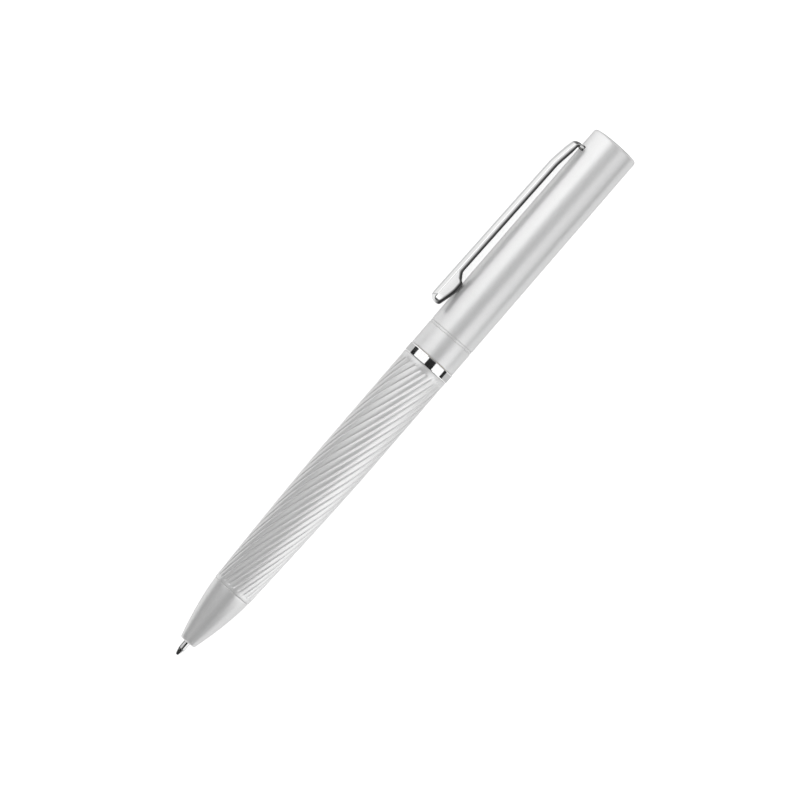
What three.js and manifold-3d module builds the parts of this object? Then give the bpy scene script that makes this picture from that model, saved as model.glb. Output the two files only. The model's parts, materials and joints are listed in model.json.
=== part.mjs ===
// A twist-action ballpoint pen with a fluted brass barrel, lying on its side with its tip out.
// Millimetres, +Z up. The pen lies along X with the writing tip toward +X.
// The origin is on the surface it lies on, under the middle of its box.
import * as THREE from 'three';
import { mergeVertices } from 'three/addons/utils/BufferGeometryUtils.js';
import Module from 'manifold-3d';

const wasm = await Module();
wasm.setup();

// Lengths along the pen, from the tip to the top end
const tipProtrusion = 3.4;
const noseLength = 14;
const lowerBarrelLength = 60.7;
const ringWidth = 2.15;
const upperBarrelLength = 57.9;

// Outside radii
const mouthRadius = 1.95;
const noseRearRadius = 4.37;
const barrelFrontRadius = 4.46;
const barrelRadius = 5.4;
const ringRadius = 5.49;

// Outside shape
const noseTaperPower = 1.5;
const barrelTaperPower = 1.4;
const barrelTaperLength = 36.6;
const mouthRounding = 0.5;
const seamChamfer = 0.1;
const ringChamfer = 0.2;
const fluteCount = 22;
const fluteDepth = 0.22;
const flutePitch = 81;
const fluteFrontMargin = 0.8;
const fluteRearMargin = 1.1;
const fluteFade = 0.9;
const lineDistance = 5.9;
const lineWidth = 0.56;
const lineDepth = 0.15;
const topFillet = 0.6;
const topDomeHeight = 0.2;
const topFlatRadius = 3;

// Walls and bores
const barrelBore = 3.75;
const bushingBore = 3.55;
const bushingSeatRadius = 4.5;
const bushingLength = 9;
const upperBore = 4.7;
const topWall = 1.5;
const spigotLength = 6;

// Fits, as gaps on the radius or along the axis
const pressGap = 0.05;
const runningGap = 0.1;
const endGap = 0.05;
const socketGap = 0.02;
const retainerGap = 0.85;

// Refill
const ballRadius = 0.35;
const ballExposed = 0.25;
const socketLip = 0.06;
const inkChannelRadius = 0.2;
const tipRadius = 0.82;
const tipConeLength = 1.3;
const tipLength = 8;
const tipSpigotLength = 4;
const refillTubeRadius = 1.5;
const refillTubeWall = 0.3;
const plugInsertLength = 4;
const plugCollarRadius = 2.2;
const plugCollarLength = 6;
const plugThreadRadius = 1.88;
const plugThreadLength = 6.5;
const inkLength = 70;

// Twist mechanism
const travel = 4.5;
const slotTurn = Math.PI;
const guideRadius = 3.1;
const guideBore = 2.5;
const flangeWidth = 0.8;
const washerThickness = 0.3;
const camRadius = 4;
const camLength = 10.6;
const pinRadius = 0.6;
const carrierLength = 10.4;
const snapRingThickness = 0.6;
const snapRingRadius = 3.8;
const snapGroove = 0.3;
const snapRingOpening = 2.2;
const guideTail = 0.8;
const sleeveShoulder = 1.2;

// Clip
const clipDistanceFromTop = 4.7;
const clipLength = 44.2;
const clipWidth = 3;
const clipThickness = 1.35;
const clipRise = 2.15;
const clipSlope = 0.016;
const clipRootSlope = 0.15;
const clipRootLength = 7.4;
const clipRootBlend = 2;
const clipBendRadius = 0.75;
const clipBendThickness = 1.1;
const clipCorner = 0.35;
const footWidth = 2.6;
const footThickness = 0.95;
const footDepth = 3.4;
const bowHeight = 1;
const keelFront = 5;
const keelRear = 6.2;
const keelDepth = 1.2;
const keelRounding = 0.86;
const heelLength = 8.4;
const heelCurve = 0.8;
const heelBlend = 0.4;
const pocketGap = 0.25;
const retainerLength = 8;
const retainerBore = 1.2;

// Facets round the turned pieces
const shellFacets = 52;
const innerFacets = 30;
const smallFacets = 20;

// Smallest and largest shares of a side that a rounded section keeps and takes
const leastShare = 0.07;
const cornerShare = 0.49;

// How far a cutter passes beyond what it cuts
const overcut = 0.5;

// Angles from none to a quarter turn, for rounded edges
const quarterTurns = [0, 1, 2, 3].map((step) => step * Math.PI / 6);

// Stations along X that several pieces share
const overallLength = tipProtrusion + noseLength + lowerBarrelLength + ringWidth + endGap
  + upperBarrelLength;
const tipX = overallLength / 2;
const mouthX = tipX - tipProtrusion;
const seamX = mouthX - noseLength;
const ringFrontX = seamX - lowerBarrelLength;
const ringRearX = ringFrontX - ringWidth;
const upperFrontX = ringRearX - endGap;
const topX = upperFrontX - upperBarrelLength;
const boreEndX = topX + topWall;
const flangeRearX = ringRearX - flangeWidth;
const washerRearX = flangeRearX - washerThickness;
const sleeveFrontX = washerRearX - endGap;
const retainerRearX = boreEndX + pressGap;
const retainerFrontX = retainerRearX + retainerLength;
const sleeveRearX = retainerFrontX + retainerGap;
const guideRearX = sleeveRearX + endGap;
const snapRearX = guideRearX + guideTail;
const snapFrontX = snapRearX + snapRingThickness;
const camRearX = snapFrontX + endGap;
const camFrontX = camRearX + camLength;
const pinX = camFrontX - (camLength - travel) / 2;
const carrierFrontX = pinX + (plugThreadLength + carrierLength) / 2;
const carrierRearX = carrierFrontX - carrierLength;
const carrierBottomX = carrierFrontX - plugThreadLength;
const plugRearX = carrierBottomX + endGap;
const collarRearX = carrierFrontX + endGap;
const tubeRearX = collarRearX + plugCollarLength;
const tipRearX = tipX - ballExposed - tipLength;
const tubeFrontX = tipRearX;
const footX = topX + clipDistanceFromTop + footThickness / 2;
const clipEndX = topX + clipDistanceFromTop + clipLength;

// Materials
const lacquer = new THREE.MeshStandardMaterial({ color: 0xe3e3e1, roughness: 0.32, metalness: 0.35 });
const chrome = new THREE.MeshStandardMaterial({ color: 0xd4d6d9, roughness: 0.08, metalness: 1 });
const brass = new THREE.MeshStandardMaterial({ color: 0xc9a24e, roughness: 0.3, metalness: 1 });
const steel = new THREE.MeshStandardMaterial({ color: 0xb4b7bb, roughness: 0.25, metalness: 1 });
const blackPlastic = new THREE.MeshStandardMaterial({ color: 0x26282b, roughness: 0.5, metalness: 0 });
const whitePlastic = new THREE.MeshStandardMaterial({ color: 0xe9e7e1, roughness: 0.55, metalness: 0 });
const ink = new THREE.MeshStandardMaterial({ color: 0x16182e, roughness: 0.4, metalness: 0 });
const carbide = new THREE.MeshStandardMaterial({ color: 0x8f9196, roughness: 0.15, metalness: 1 });

// A solid for joining and cutting, from a closed geometry
function toSolid(geometry) {
  const bare = geometry.clone();
  bare.deleteAttribute('normal');
  bare.deleteAttribute('uv');
  const merged = mergeVertices(bare, 1e-5);
  return new wasm.Manifold(new wasm.Mesh({
    numProp: 3,
    vertProperties: Float32Array.from(merged.attributes.position.array),
    triVerts: Uint32Array.from(merged.index.array),
  }));
}

function toGeometry(solid) {
  const mesh = solid.getMesh();
  const geometry = new THREE.BufferGeometry();
  geometry.setAttribute('position', new THREE.BufferAttribute(mesh.vertProperties, 3));
  geometry.setIndex(new THREE.BufferAttribute(mesh.triVerts, 1));
  return geometry;
}

function cut(geometry, ...cutters) {
  const whole = toSolid(geometry);
  return toGeometry(cutters.reduce((solid, cutter) => solid.subtract(toSolid(cutter)), whole));
}

// A turned solid from [x, radius] points, listed along its outside toward +X and back along its bore
function turned(profile, facets = innerFacets) {
  const points = profile.map(([x, radius]) => new THREE.Vector2(radius, x));
  return new THREE.LatheGeometry(points, facets).rotateZ(-Math.PI / 2);
}

// A plain tube between two stations, with its outer edges chamfered
function tube(rearX, frontX, outer, bore, facets = innerFacets, chamfer = 0) {
  const rearEdge = [[rearX, outer - chamfer], [rearX + chamfer, outer]];
  const frontEdge = [[frontX - chamfer, outer], [frontX, outer - chamfer]];
  const outside = chamfer > 0 ? [...rearEdge, ...frontEdge] : [[rearX, outer], [frontX, outer]];
  return turned([[rearX, bore], ...outside, [frontX, bore], [rearX, bore]], facets);
}

// Volume inside a closed mesh, negative where its faces point inward
function signedVolume(positions, index) {
  const corners = [new THREE.Vector3(), new THREE.Vector3(), new THREE.Vector3()];
  let volume = 0;
  for (let i = 0; i < index.length; i += 3) {
    corners.forEach((corner, side) => corner.fromArray(positions, 3 * index[i + side]));
    volume += corners[0].dot(corners[1].cross(corners[2])) / 6;
  }
  return volume;
}

// A closed solid through rings of points, each ring running the same way round, capped at both ends
function loft(rings) {
  const count = rings[0].length;
  const positions = rings.flat().flatMap((point) => [point.x, point.y, point.z]);
  const index = [];
  for (let ring = 0; ring < rings.length - 1; ring += 1) {
    for (let i = 0; i < count; i += 1) {
      const a = ring * count + i;
      const b = ring * count + (i + 1) % count;
      index.push(a, b, b + count, a, b + count, a + count);
    }
  }
  [0, rings.length - 1].forEach((ring) => {
    const middle = new THREE.Vector3();
    rings[ring].forEach((point) => middle.addScaledVector(point, 1 / count));
    const centre = positions.length / 3;
    positions.push(middle.x, middle.y, middle.z);
    for (let i = 0; i < count; i += 1) {
      const a = ring * count + i;
      const b = ring * count + (i + 1) % count;
      index.push(...(ring === 0 ? [centre, b, a] : [centre, a, b]));
    }
  });
  const geometry = new THREE.BufferGeometry();
  geometry.setAttribute('position', new THREE.Float32BufferAttribute(positions, 3));
  geometry.setIndex(signedVolume(positions, index) < 0 ? index.reverse() : index);
  return geometry;
}

// A point on a cylinder round the pen's axis; angle 0 is the clip's side
function polar(x, radius, angle) {
  return new THREE.Vector3(x, -radius * Math.sin(angle), radius * Math.cos(angle));
}

// A straight slot with round ends through both walls of a tube, on the clip's side and opposite
function straightSlot(rearX, frontX, halfWidth, reach) {
  const outline = new THREE.Shape();
  outline.moveTo(rearX, -halfWidth);
  outline.lineTo(frontX, -halfWidth);
  outline.absarc(frontX, 0, halfWidth, -Math.PI / 2, Math.PI / 2, false);
  outline.lineTo(rearX, halfWidth);
  outline.absarc(rearX, 0, halfWidth, Math.PI / 2, 3 * Math.PI / 2, false);
  return new THREE.ExtrudeGeometry(outline, { depth: 2 * reach, bevelEnabled: false, curveSegments: 6 })
    .translate(0, 0, -reach);
}

// A helical slot with round ends through a tube's wall, from one angle and station to another
function helicalSlot(startAngle, startX, endAngle, endX, halfWidth, innerRadius, outerRadius) {
  const middleRadius = (innerRadius + outerRadius) / 2;
  const along = new THREE.Vector2((endAngle - startAngle) * middleRadius, endX - startX).normalize();
  const steps = 18;
  const endTurns = quarterTurns.slice(1);
  const sections = [];
  endTurns.forEach((turn) => {
    sections.unshift([0, -halfWidth * Math.sin(turn), halfWidth * Math.max(leastShare, Math.cos(turn))]);
  });
  for (let i = 0; i <= steps; i += 1) {
    sections.push([i / steps, 0, halfWidth]);
  }
  endTurns.forEach((turn) => {
    sections.push([1, halfWidth * Math.sin(turn), halfWidth * Math.max(leastShare, Math.cos(turn))]);
  });
  return loft(sections.map(([share, beyond, half]) => {
    const arc = THREE.MathUtils.lerp(startAngle, endAngle, share) * middleRadius + beyond * along.x;
    const x = THREE.MathUtils.lerp(startX, endX, share) + beyond * along.y;
    const corner = (side, radius) => (
      polar(x - side * half * along.x, radius, (arc + side * half * along.y) / middleRadius)
    );
    return [corner(-1, innerRadius), corner(-1, outerRadius), corner(1, outerRadius), corner(1, innerRadius)];
  }));
}

// Nose cone: an ogive with a rounded mouth, the tip's hole and a spigot for the barrel
function noseCone() {
  const steps = 7;
  const shoulderX = mouthX - mouthRounding;
  const outside = [];
  for (let i = 0; i <= steps; i += 1) {
    const x = THREE.MathUtils.lerp(seamX + seamChamfer, shoulderX, i / steps);
    const share = (x - seamX) / (shoulderX - seamX);
    outside.push([x, noseRearRadius - (noseRearRadius - mouthRadius) * share ** noseTaperPower]);
  }
  const rounding = quarterTurns.slice(1).map((turn) => (
    [shoulderX + mouthRounding * Math.sin(turn), mouthRadius - mouthRounding * (1 - Math.cos(turn))]
  ));
  const spigotRadius = barrelBore - pressGap;
  const spigotRearX = seamX - spigotLength;
  const tubeBore = refillTubeRadius + 2 * runningGap;
  const tubeStopX = tubeFrontX + runningGap;
  const tipBore = tipRadius + runningGap;
  return turned([
    [spigotRearX, tubeBore],
    [spigotRearX, spigotRadius - seamChamfer],
    [spigotRearX + seamChamfer, spigotRadius],
    [seamX, spigotRadius],
    [seamX, noseRearRadius - seamChamfer],
    ...outside,
    ...rounding,
    [mouthX, tipBore],
    [tubeStopX, tipBore],
    [tubeStopX, tubeBore],
    [spigotRearX, tubeBore],
  ], shellFacets);
}

// Radius of the barrel's crests: tapered toward the nose, straight toward the ring
function crestRadius(x) {
  const share = Math.max(0, (x - (seamX - barrelTaperLength)) / barrelTaperLength);
  return barrelRadius - (barrelRadius - barrelFrontRadius) * share ** barrelTaperPower;
}

// Share of the full flute depth at a station: the flutes run out round at both ends
function fluteShare(x) {
  const fromFront = (seamX - fluteFrontMargin - x) / fluteFade;
  const fromRear = (x - ringFrontX - fluteRearMargin) / fluteFade;
  const share = THREE.MathUtils.clamp(Math.min(fromFront, fromRear), 0, 1);
  return Math.sqrt(1 - (1 - share) ** 2);
}

// Lower barrel: wide convex ribs between narrow valleys that wind round as a right-handed helix
function lowerBarrel() {
  const ribPoints = [[0, 1], [0.14, 0.3], [0.5, 0], [0.86, 0.3]];
  const fadeSteps = 3;
  const bodySteps = 16;
  const fluteFrontX = seamX - fluteFrontMargin;
  const fluteRearX = ringFrontX + fluteRearMargin;
  const stations = [ringFrontX, ringFrontX + seamChamfer];
  for (let i = 0; i < fadeSteps; i += 1) {
    stations.push(fluteRearX + fluteFade * (1 - Math.cos((i / fadeSteps) * Math.PI / 2)));
  }
  for (let i = 0; i <= bodySteps; i += 1) {
    stations.push(THREE.MathUtils.lerp(fluteRearX + fluteFade, fluteFrontX - fluteFade, i / bodySteps));
  }
  for (let i = fadeSteps - 1; i >= 0; i -= 1) {
    stations.push(fluteFrontX - fluteFade * (1 - Math.cos((i / fadeSteps) * Math.PI / 2)));
  }
  stations.push(seamX - seamChamfer, seamX);
  const rings = stations.map((x) => {
    const isEnd = x === ringFrontX || x === seamX;
    const crest = crestRadius(x) - (isEnd ? seamChamfer : 0);
    const depth = fluteDepth * fluteShare(x);
    const twist = 2 * Math.PI * x / flutePitch;
    const ring = [];
    for (let rib = 0; rib < fluteCount; rib += 1) {
      ribPoints.forEach(([place, drop]) => {
        ring.push(polar(x, crest - depth * drop, twist + 2 * Math.PI * (rib + place) / fluteCount));
      });
    }
    return ring;
  });
  const seatX = ringFrontX + bushingLength;
  const bore = turned([
    [ringFrontX - overcut, 0],
    [ringFrontX - overcut, bushingSeatRadius],
    [seatX, bushingSeatRadius],
    [seatX, barrelBore],
    [seamX + overcut, barrelBore],
    [seamX + overcut, 0],
  ]);
  return cut(loft(rings), bore);
}

// Guide tube: screwed into the bushing, with a flange that clamps the ring and two straight slots
function guideTube() {
  const screwRadius = bushingBore - pressGap;
  const screwFrontX = ringFrontX + bushingLength - seamChamfer;
  const grooveRadius = guideRadius - snapGroove;
  const body = turned([
    [guideRearX, guideBore],
    [guideRearX, guideRadius - seamChamfer],
    [guideRearX + seamChamfer, guideRadius],
    [snapRearX - endGap, guideRadius],
    [snapRearX - endGap, grooveRadius],
    [snapFrontX + endGap, grooveRadius],
    [snapFrontX + endGap, guideRadius],
    [flangeRearX, guideRadius],
    [flangeRearX, upperBore - runningGap],
    [ringRearX, upperBore - runningGap],
    [ringRearX, screwRadius],
    [screwFrontX - seamChamfer, screwRadius],
    [screwFrontX, screwRadius - seamChamfer],
    [screwFrontX, guideBore],
    [guideRearX, guideBore],
  ]);
  const slotHalf = pinRadius + runningGap;
  return cut(body, straightSlot(pinX - travel, pinX, slotHalf, guideRadius + overcut));
}

// Cam tube: two helical slots, half a turn apart, that draw the pin back as the tube turns
function camTube() {
  const slotHalf = pinRadius + runningGap;
  const bore = guideRadius + runningGap;
  const inner = bore - overcut;
  const outer = camRadius + overcut;
  const slots = [0, Math.PI].map((start) => (
    helicalSlot(start, pinX, start + slotTurn, pinX - travel, slotHalf, inner, outer)
  ));
  return cut(tube(camRearX, camFrontX, camRadius, bore), ...slots);
}

// Drive sleeve: carries the cam tube, and turns with the upper barrel
function driveSleeve() {
  const outer = upperBore - pressGap;
  const bore = camRadius + pressGap;
  const shoulderBore = guideRadius + runningGap;
  const shoulderRearX = camFrontX + pressGap;
  const shoulderFrontX = shoulderRearX + sleeveShoulder;
  return turned([
    [sleeveRearX, bore],
    [sleeveRearX, outer - ringChamfer],
    [sleeveRearX + ringChamfer, outer],
    [sleeveFrontX - ringChamfer, outer],
    [sleeveFrontX, outer - ringChamfer],
    [sleeveFrontX, bore],
    [shoulderFrontX, bore],
    [shoulderFrontX, shoulderBore],
    [shoulderRearX, shoulderBore],
    [shoulderRearX, bore],
    [sleeveRearX, bore],
  ]);
}

// Split ring that sits in the guide tube's groove
function snapRing() {
  const inner = guideRadius - snapGroove + pressGap;
  const start = snapRingOpening / (inner + snapRingRadius);
  const outline = new THREE.Shape();
  outline.absarc(0, 0, snapRingRadius, start, 2 * Math.PI - start, false);
  outline.absarc(0, 0, inner, 2 * Math.PI - start, start, true);
  return new THREE.ExtrudeGeometry(outline, {
    depth: snapRingThickness, bevelEnabled: false, curveSegments: smallFacets,
  }).rotateY(Math.PI / 2).translate(snapRearX, 0, 0);
}

// Upper barrel: closed and softly domed at the top, with a turned line and the clip's slot
function upperBarrel() {
  const domeRadius = barrelRadius - topFillet;
  const filletX = topX + topDomeHeight + topFillet;
  const fillet = quarterTurns.map((turn) => (
    [filletX - topFillet * Math.cos(turn), domeRadius + topFillet * Math.sin(turn)]
  ));
  const domeMiddle = (topFlatRadius + domeRadius) / 2;
  const lineX = upperFrontX - lineDistance;
  const body = turned([
    [topX, 0],
    [topX, topFlatRadius],
    [topX + topDomeHeight / 3, domeMiddle],
    ...fillet,
    [lineX - lineWidth / 2, barrelRadius],
    [lineX - lineWidth / 4, barrelRadius - lineDepth],
    [lineX + lineWidth / 4, barrelRadius - lineDepth],
    [lineX + lineWidth / 2, barrelRadius],
    [upperFrontX - seamChamfer, barrelRadius],
    [upperFrontX, barrelRadius - seamChamfer],
    [upperFrontX, upperBore],
    [boreEndX, upperBore],
    [boreEndX, 0],
  ], shellFacets);
  const slotLength = footThickness + 2 * runningGap;
  const slotWidth = footWidth + 2 * runningGap;
  const slot = new THREE.BoxGeometry(slotLength, slotWidth, barrelRadius).translate(footX, 0, barrelRadius);
  return cut(body, slot);
}

// Plug in the top of the barrel with a pocket that the clip's foot is held in
function clipRetainer() {
  const radius = upperBore - pressGap;
  const body = tube(retainerRearX, retainerFrontX, radius, retainerBore, innerFacets, ringChamfer);
  const pocketBottom = barrelRadius - footDepth - pocketGap;
  const pocket = new THREE.BoxGeometry(
    footThickness + 2 * pocketGap,
    footWidth + 2 * pocketGap,
    barrelRadius,
  ).translate(footX, 0, pocketBottom + barrelRadius / 2);
  return cut(body, pocket);
}

// Height of the clip's outer face above the pen's axis at a distance from its free end
function clipTop(distance) {
  const bendStart = clipLength - clipRootLength;
  const straight = barrelRadius + clipRise + clipThickness + clipSlope * (heelLength - distance);
  const past = Math.max(0, distance - bendStart);
  const drop = past < clipRootBlend ? past ** 2 / (2 * clipRootBlend) : past - clipRootBlend / 2;
  return straight - (clipRootSlope - clipSlope) * drop;
}

// A rounded rectangle of points, with its lower corners drawn in to make a keel where asked
function clipSection(width, height, keel) {
  const corner = Math.min(clipCorner, cornerShare * width, cornerShare * height);
  const lowWide = THREE.MathUtils.lerp(corner, cornerShare * width, keel);
  const lowHigh = THREE.MathUtils.lerp(corner, height - 2 * corner, keelRounding * keel);
  const corners = [
    [width / 2 - corner, height / 2 - corner, corner, corner],
    [-(width / 2 - corner), height / 2 - corner, corner, corner],
    [-(width / 2 - lowWide), -(height / 2 - lowHigh), lowWide, lowHigh],
    [width / 2 - lowWide, -(height / 2 - lowHigh), lowWide, lowHigh],
  ];
  return corners.flatMap(([y, z, reachY, reachZ], quarter) => quarterTurns.map((turn) => {
    const angle = turn + quarter * Math.PI / 2;
    return new THREE.Vector2(y + reachY * Math.cos(angle), z + reachZ * Math.sin(angle));
  }));
}

// Clip: a boat-shaped end that bears on the barrel, a flat blade, and a foot bent in through the slot
function clip() {
  const rings = [];
  const addRing = (centre, out, width, height, keel) => {
    rings.push(clipSection(width, height, keel).map((point) => new THREE.Vector3(
      centre.x + out.x * point.y,
      point.x,
      centre.y + out.y * point.y,
    )));
  };
  const bladeUnder = (distance) => clipTop(distance) - clipThickness;
  const bowRadius = clipTop(0) - barrelRadius - bowHeight;
  const bowMiddle = barrelRadius + bowHeight + bowRadius / 2;
  const keelHeight = barrelRadius + endGap;
  const heelX = keelRear + heelCurve;
  const underside = new THREE.Path();
  underside.moveTo(0, bowMiddle);
  underside.quadraticCurveTo(0, barrelRadius + bowHeight, bowHeight, barrelRadius + bowHeight);
  underside.quadraticCurveTo(keelFront - 1, keelHeight, keelFront, keelHeight);
  underside.lineTo(keelRear, keelHeight);
  underside.quadraticCurveTo((keelRear + heelX) / 2, keelHeight, heelX, keelHeight + heelCurve);
  underside.lineTo(heelLength - heelBlend, bladeUnder(heelLength) - heelBlend);
  underside.quadraticCurveTo(
    heelLength,
    bladeUnder(heelLength),
    heelLength + heelBlend,
    bladeUnder(heelLength + heelBlend),
  );
  const up = new THREE.Vector2(0, 1);
  const curvePoints = 5;
  underside.getPoints(curvePoints).forEach((point) => {
    const distance = point.x;
    const fromEnd = Math.min(1, distance / (clipWidth / 2));
    const round = Math.max(leastShare, Math.sqrt(1 - (1 - fromEnd) ** 2));
    const top = THREE.MathUtils.lerp(bowMiddle, clipTop(distance), round);
    const keel = THREE.MathUtils.clamp((bladeUnder(distance) - point.y) / keelDepth, 0, 1);
    const centre = new THREE.Vector2(clipEndX - distance, (top + point.y) / 2);
    addRing(centre, up, clipWidth * round, top - point.y, keel);
  });
  const bendStart = clipLength - clipRootLength;
  const bladeSlope = Math.atan(clipRootSlope);
  const bendX = footX + clipBendRadius * (1 - Math.sin(bladeSlope));
  const bendDistance = clipEndX - bendX;
  const bladeStations = [
    (2 * heelLength + bendStart) / 3,
    (heelLength + 2 * bendStart) / 3,
    bendStart,
    bendStart + clipRootBlend / 2,
    bendStart + clipRootBlend,
    bendDistance - 2 * clipBendRadius,
  ];
  bladeStations.forEach((distance) => {
    const centre = new THREE.Vector2(clipEndX - distance, clipTop(distance) - clipThickness / 2);
    addRing(centre, up, clipWidth, clipThickness, 0);
  });
  const bendTop = clipTop(bendDistance) - clipThickness / 2;
  const bendHeight = bendTop - clipBendRadius * Math.cos(bladeSlope);
  const bendCentre = new THREE.Vector2(footX + clipBendRadius, bendHeight);
  const bendSteps = 5;
  for (let i = 0; i <= bendSteps; i += 1) {
    const share = i / bendSteps;
    const turn = THREE.MathUtils.lerp(bladeSlope, Math.PI / 2, share);
    const out = new THREE.Vector2(-Math.sin(turn), Math.cos(turn));
    const thickness = THREE.MathUtils.lerp(clipBendThickness, footThickness, share);
    const width = THREE.MathUtils.lerp(clipWidth, footWidth, share);
    addRing(bendCentre.clone().addScaledVector(out, clipBendRadius), out, width, thickness, 0);
  }
  const footEnd = new THREE.Vector2(footX, barrelRadius - footDepth);
  addRing(footEnd, new THREE.Vector2(-1, 0), footWidth, footThickness, 0);
  return loft(rings);
}

// Carrier: screwed onto the refill's plug, slides in the guide tube, and is drawn along by the pin
function carrier() {
  const outer = guideBore - runningGap;
  const bore = plugThreadRadius + pressGap;
  const body = turned([
    [carrierRearX, 0],
    [carrierRearX, outer - seamChamfer],
    [carrierRearX + seamChamfer, outer],
    [carrierFrontX - seamChamfer, outer],
    [carrierFrontX, outer - seamChamfer],
    [carrierFrontX, bore],
    [carrierBottomX, bore],
    [carrierBottomX, 0],
  ], smallFacets);
  const holeRadius = pinRadius + pressGap;
  const hole = new THREE.CylinderGeometry(holeRadius, holeRadius, 2 * camRadius, smallFacets)
    .rotateX(Math.PI / 2)
    .translate(pinX, 0, 0);
  return cut(body, hole);
}

function crossPin() {
  const length = 2 * (camRadius - runningGap);
  return new THREE.CylinderGeometry(pinRadius, pinRadius, length, smallFacets)
    .rotateX(Math.PI / 2)
    .translate(pinX, 0, 0);
}

// Refill plug: pressed into the tube, with a collar to grip and a stem that the carrier holds
function refillPlug() {
  const insertRadius = refillTubeRadius - refillTubeWall - pressGap;
  return turned([
    [plugRearX, 0],
    [plugRearX, plugThreadRadius - seamChamfer],
    [plugRearX + seamChamfer, plugThreadRadius],
    [collarRearX, plugThreadRadius],
    [collarRearX, plugCollarRadius],
    [tubeRearX, plugCollarRadius],
    [tubeRearX, insertRadius],
    [tubeRearX + plugInsertLength, insertRadius],
    [tubeRearX + plugInsertLength, 0],
  ], smallFacets);
}

// Refill tip: a cone that holds the ball, a shank, and a spigot pressed into the tube
function refillTip() {
  const frontX = tipX - ballExposed;
  const socketRadius = ballRadius + socketGap;
  const socketBottomX = tipX - 2 * ballRadius - socketGap;
  const spigotRadius = refillTubeRadius - refillTubeWall - pressGap;
  return turned([
    [tipRearX - tipSpigotLength, inkChannelRadius],
    [tipRearX - tipSpigotLength, spigotRadius],
    [tipRearX, spigotRadius],
    [tipRearX, tipRadius],
    [frontX - tipConeLength, tipRadius],
    [frontX, socketRadius + socketLip],
    [frontX, socketRadius],
    [socketBottomX, socketRadius],
    [socketBottomX, inkChannelRadius],
    [tipRearX - tipSpigotLength, inkChannelRadius],
  ], smallFacets);
}

function inkColumn() {
  const frontX = tipRearX - tipSpigotLength - endGap;
  const rearX = frontX - inkLength;
  const radius = refillTubeRadius - refillTubeWall - pressGap;
  return turned([[rearX, 0], [rearX, radius], [frontX, radius], [frontX, 0]], smallFacets);
}

function writingBall() {
  const sides = 12;
  const bands = 8;
  return new THREE.SphereGeometry(ballRadius, sides, bands)
    .rotateZ(Math.PI / 2)
    .translate(tipX - ballRadius, 0, 0);
}

const pen = new THREE.Group();

function addPiece(name, geometry, material) {
  const mesh = new THREE.Mesh(geometry, material);
  mesh.name = name;
  pen.add(mesh);
}

// Lower half
addPiece('nose_cone', noseCone(), lacquer);
addPiece('lower_barrel', lowerBarrel(), lacquer);
addPiece('thread_bushing', tube(
  ringFrontX,
  ringFrontX + bushingLength - endGap,
  bushingSeatRadius - pressGap,
  bushingBore,
), brass);
addPiece('centre_ring', tube(
  ringRearX,
  ringFrontX,
  ringRadius,
  bushingBore,
  shellFacets,
  ringChamfer,
), chrome);
addPiece('guide_tube', guideTube(), brass);
addPiece('friction_washer', tube(
  washerRearX,
  flangeRearX,
  upperBore - runningGap - pressGap,
  guideRadius + runningGap,
), whitePlastic);
addPiece('snap_ring', snapRing(), steel);

// Upper half
addPiece('upper_barrel', upperBarrel(), lacquer);
addPiece('drive_sleeve', driveSleeve(), brass);
addPiece('cam_tube', camTube(), brass);
addPiece('clip_retainer', clipRetainer(), blackPlastic);
addPiece('clip', clip(), chrome);

// Refill and what carries it
addPiece('carrier', carrier(), blackPlastic);
addPiece('cross_pin', crossPin(), steel);
addPiece('refill_plug', refillPlug(), whitePlastic);
addPiece('refill_tube', tube(
  tubeRearX,
  tubeFrontX,
  refillTubeRadius,
  refillTubeRadius - refillTubeWall,
  smallFacets,
), steel);
addPiece('refill_tip', refillTip(), chrome);
addPiece('ink_column', inkColumn(), ink);
addPiece('writing_ball', writingBall(), carbide);

// The pen lies on its ring and on the clip's free end, so the clip points down and to the -Y side
const clipHighest = clipTop(clipWidth / 2) - clipCorner;
const clipReach = Math.hypot(clipHighest, clipWidth / 2 - clipCorner);
const clipHalfAngle = Math.atan2(clipWidth / 2 - clipCorner, clipHighest);
const clipDroop = Math.asin((ringRadius - clipCorner) / clipReach) - clipHalfAngle;
pen.rotation.x = Math.PI / 2 + clipDroop;

const object = new THREE.Group();
object.add(pen);
const box = new THREE.Box3().setFromObject(object, true);
pen.position.set(0, -(box.min.y + box.max.y) / 2, -box.min.z);

export default object;
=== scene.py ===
import json
import math

import bmesh
import bpy
from mathutils import Matrix, Vector


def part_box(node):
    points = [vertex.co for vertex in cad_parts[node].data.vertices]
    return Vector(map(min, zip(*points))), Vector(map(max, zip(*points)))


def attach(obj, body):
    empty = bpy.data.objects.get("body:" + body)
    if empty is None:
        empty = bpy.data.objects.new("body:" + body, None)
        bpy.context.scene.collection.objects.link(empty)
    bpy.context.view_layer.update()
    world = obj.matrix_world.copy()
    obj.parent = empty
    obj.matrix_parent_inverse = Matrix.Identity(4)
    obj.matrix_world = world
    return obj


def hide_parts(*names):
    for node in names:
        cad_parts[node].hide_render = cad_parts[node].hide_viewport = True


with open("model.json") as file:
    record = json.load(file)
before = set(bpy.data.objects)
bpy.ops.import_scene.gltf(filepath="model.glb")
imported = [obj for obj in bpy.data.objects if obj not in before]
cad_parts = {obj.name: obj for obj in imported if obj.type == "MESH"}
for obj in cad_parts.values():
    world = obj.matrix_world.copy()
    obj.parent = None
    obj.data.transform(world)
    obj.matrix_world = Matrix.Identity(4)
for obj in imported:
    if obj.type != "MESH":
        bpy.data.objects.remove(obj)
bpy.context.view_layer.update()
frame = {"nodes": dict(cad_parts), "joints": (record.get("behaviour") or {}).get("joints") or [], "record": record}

scene = bpy.context.scene
scene.view_settings.view_transform = "Standard"

# Sizes are millimetres in the pen's own frame: X along the pen toward the tip, Z toward the clip.
MM = 0.001

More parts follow.
